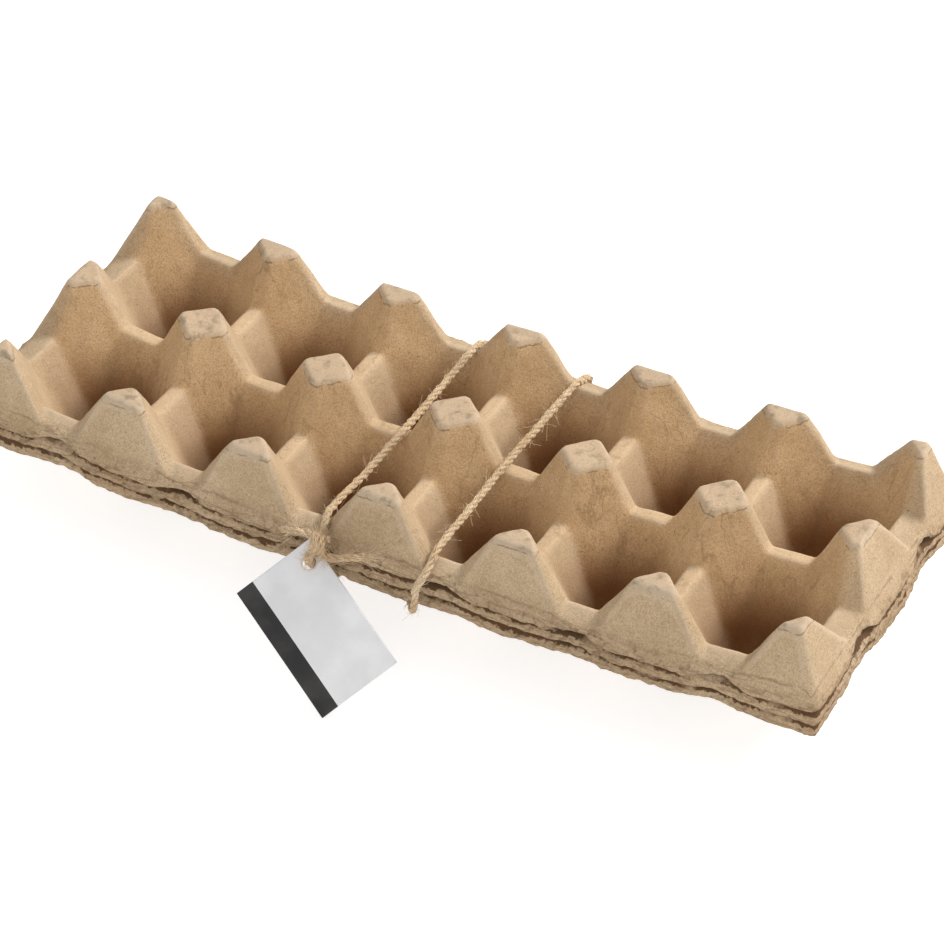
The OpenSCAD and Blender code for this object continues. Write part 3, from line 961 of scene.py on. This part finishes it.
last_clear = len(route) - CLEAR
hairs = stray_hairs(route, count=1000, first=CLEAR, last=last_clear)
hairs += stray_hairs(route, count=140, first=CLEAR, last=LOOSE_END)
hairs += stray_hairs(route, count=140, first=len(route) - LOOSE_END, last=last_clear)
hairs += stray_hairs(knot, count=120, first=CLEAR, last=len(knot) - CLEAR)
hairs += frayed_end(route, count=60)
hairs += frayed_end(route[::-1], count=60)
print("hairs:", len(hairs))

# %% Make the twine
CORE_R, FIBRE_R, HAIR_R = 0.5 * MM, 0.17 * MM, 0.05 * MM


def strand_mesh(name, strands, thickness):
    data = bpy.data.curves.new(name, "CURVE")
    data.dimensions = "3D"
    data.bevel_depth = thickness
    data.bevel_resolution = 0
    data.use_fill_caps = True
    for points in strands:
        line = data.splines.new("POLY")
        line.points.add(len(points) - 1)
        for spot, p in zip(line.points, points):
            spot.co = (*p, 1)
    holder = bpy.data.objects.new(name, data)
    add_to_scene(holder)
    finished = holder.evaluated_get(bpy.context.evaluated_depsgraph_get())
    mesh = bpy.data.meshes.new_from_object(finished)
    bpy.data.objects.remove(holder)
    bpy.data.curves.remove(data)
    return mesh


def joined(name, meshes):
    whole = bmesh.new()
    for mesh in meshes:
        whole.from_mesh(mesh)
        bpy.data.meshes.remove(mesh)
    return piece_from(name, whole)


jute = fibre_material(
    "jute", base=(0.7, 0.53, 0.335), dark=(0.48, 0.325, 0.18), pale=(0.84, 0.69, 0.49),
    bump=0.4, roughness=0.8)
twine = joined("jute_twine", [strand_mesh("cores", cores, CORE_R),
                              strand_mesh("fibres", fibres, FIBRE_R),
                              strand_mesh("hairs", hairs, HAIR_R)])
twine.data.materials.append(jute)
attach(twine, "root")
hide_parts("twine")
print("twine faces:", len(twine.data.polygons))

# %% [markdown]
# ## Tag
#
# The tag is a stiff card with a punched hole and a dark band along one long edge. A flat box would
# look like a tile, so the card is a fine grid. Its faces in the hole are deleted, the hole's edge is
# made round, and the card gets the slight curl of a tag that hung for a while. It is bent lying flat,
# in millimetres, then moved to have the hole as its middle, turned, and hung on the twine.

# %% Cut the card
TAG_L, TAG_W, TAG_T = 48.5, 29.0, 0.5
HOLE_U, HOLE_V, HOLE_D = 6.0, 4.7, 4.6
HOLE = Vector((HOLE_U, TAG_W - HOLE_V, 0))
CARD_STEP = 0.5

card_bm = bmesh.new()
bmesh.ops.create_grid(card_bm, size=0.5, x_segments=round(TAG_L / CARD_STEP),
                      y_segments=round(TAG_W / CARD_STEP))
bmesh.ops.translate(card_bm, vec=(0.5, 0.5, 0), verts=card_bm.verts)
card_map = card_bm.loops.layers.uv.verify()
for face in card_bm.faces:
    for loop in face.loops:
        loop[card_map].uv = loop.vert.co.xy
bmesh.ops.scale(card_bm, vec=(TAG_L, TAG_W, 1), verts=card_bm.verts)
cut_away(card_bm, [f for f in card_bm.faces if (f.calc_center_median() - HOLE).length < HOLE_D / 2])
for v in card_bm.verts:
    if v.is_boundary and (v.co - HOLE).length < HOLE_D:
        v.co = HOLE + (v.co - HOLE).normalized() * HOLE_D / 2
print("card is", TAG_L, "by", TAG_W, "mm with a hole of", HOLE_D, "mm")

# %% Curl and hang the card
CURL, CURL_START = 0.9, 0.15
TWIST, TWIST_TURN = 0.25, 3
RIPPLE, RIPPLE_ALONG, RIPPLE_ACROSS, RIPPLE_SEED = 0.12, 0.09, 0.13, 4.2
TAG_TURN = Euler([math.radians(angle) for angle in (35, 26.5, -22.5)]).to_matrix()

for v in card_bm.verts:
    along, across = v.co.x / TAG_L, v.co.y / TAG_W
    curl = CURL * (along - CURL_START) ** 2 + TWIST * math.sin(across * TWIST_TURN) * along
    spot = Vector((v.co.x * RIPPLE_ALONG, v.co.y * RIPPLE_ACROSS, RIPPLE_SEED))
    v.co.z += TAG_T + curl + RIPPLE * noise.noise(spot)
bmesh.ops.translate(card_bm, vec=-HOLE, verts=card_bm.verts)
bmesh.ops.scale(card_bm, vec=(MM, MM, MM), verts=card_bm.verts)
bmesh.ops.rotate(card_bm, cent=(0, 0, 0), matrix=TAG_TURN, verts=card_bm.verts)
bmesh.ops.translate(card_bm, vec=in_frame(TAG_POINT), verts=card_bm.verts)
card_tag = piece_from("card_tag", card_bm)
board = card_tag.modifiers.new("board", "SOLIDIFY")
board.thickness = TAG_T * MM
board.offset = -1
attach(card_tag, "root")
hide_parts("hang_tag")
print("card faces:", len(card_tag.data.polygons))

# %% [markdown]
# ## Print on the card
#
# The card is pale paper with a faint cloud in it, and the dark band is ink. A second piece for the
# band would stand off the card. A mask on the card's own map keeps the band flat, and its edge stays
# sharp and straight however the card is curled.

# %% Card material
BAND_TOP, BAND_SOFT = 0.215, 0.0015
PAPER_BUMP, PAPER_DEPTH = 0.12, 0.3 * MM


def printed_card():
    finish = bpy.data.materials.new("printed_card")
    finish.use_nodes = True
    tree = finish.node_tree
    shader = tree.nodes["Principled BSDF"]
    own_map = tree.nodes.new("ShaderNodeUVMap")
    split = tree.nodes.new("ShaderNodeSeparateXYZ")
    wire(tree, own_map.outputs["UV"], split.inputs["Vector"])
    place = tree.nodes.new("ShaderNodeTexCoord").outputs["Object"]
    cloud = noise_node(tree, place, scale=90, detail=4)
    tooth = noise_node(tree, place, scale=2600, detail=2)
    paper = blend_node(tree, ramp_node(tree, cloud, low=0.35, high=0.7),
                       (0.7, 0.7, 0.715), (0.78, 0.78, 0.79))
    ink = blend_node(tree, ramp_node(tree, cloud, low=0.4, high=0.7),
                     (0.009, 0.008, 0.008), (0.035, 0.033, 0.032))
    band = ramp_node(tree, split.outputs["Y"], low=BAND_TOP + BAND_SOFT, high=BAND_TOP - BAND_SOFT)
    wire(tree, blend_node(tree, band, paper, ink), shader.inputs["Base Color"])
    wire(tree, ramp_node(tree, cloud, low=-0.6, high=1.6), shader.inputs["Roughness"])
    relief = tree.nodes.new("ShaderNodeBump")
    relief.inputs["Strength"].default_value = PAPER_BUMP
    relief.inputs["Distance"].default_value = PAPER_DEPTH
    wire(tree, tooth, relief.inputs["Height"])
    wire(tree, relief.outputs["Normal"], shader.inputs["Normal"])
    return finish


card_tag.data.materials.append(printed_card())
print("band takes", round(BAND_TOP * TAG_W, 1), "mm of the card's width")
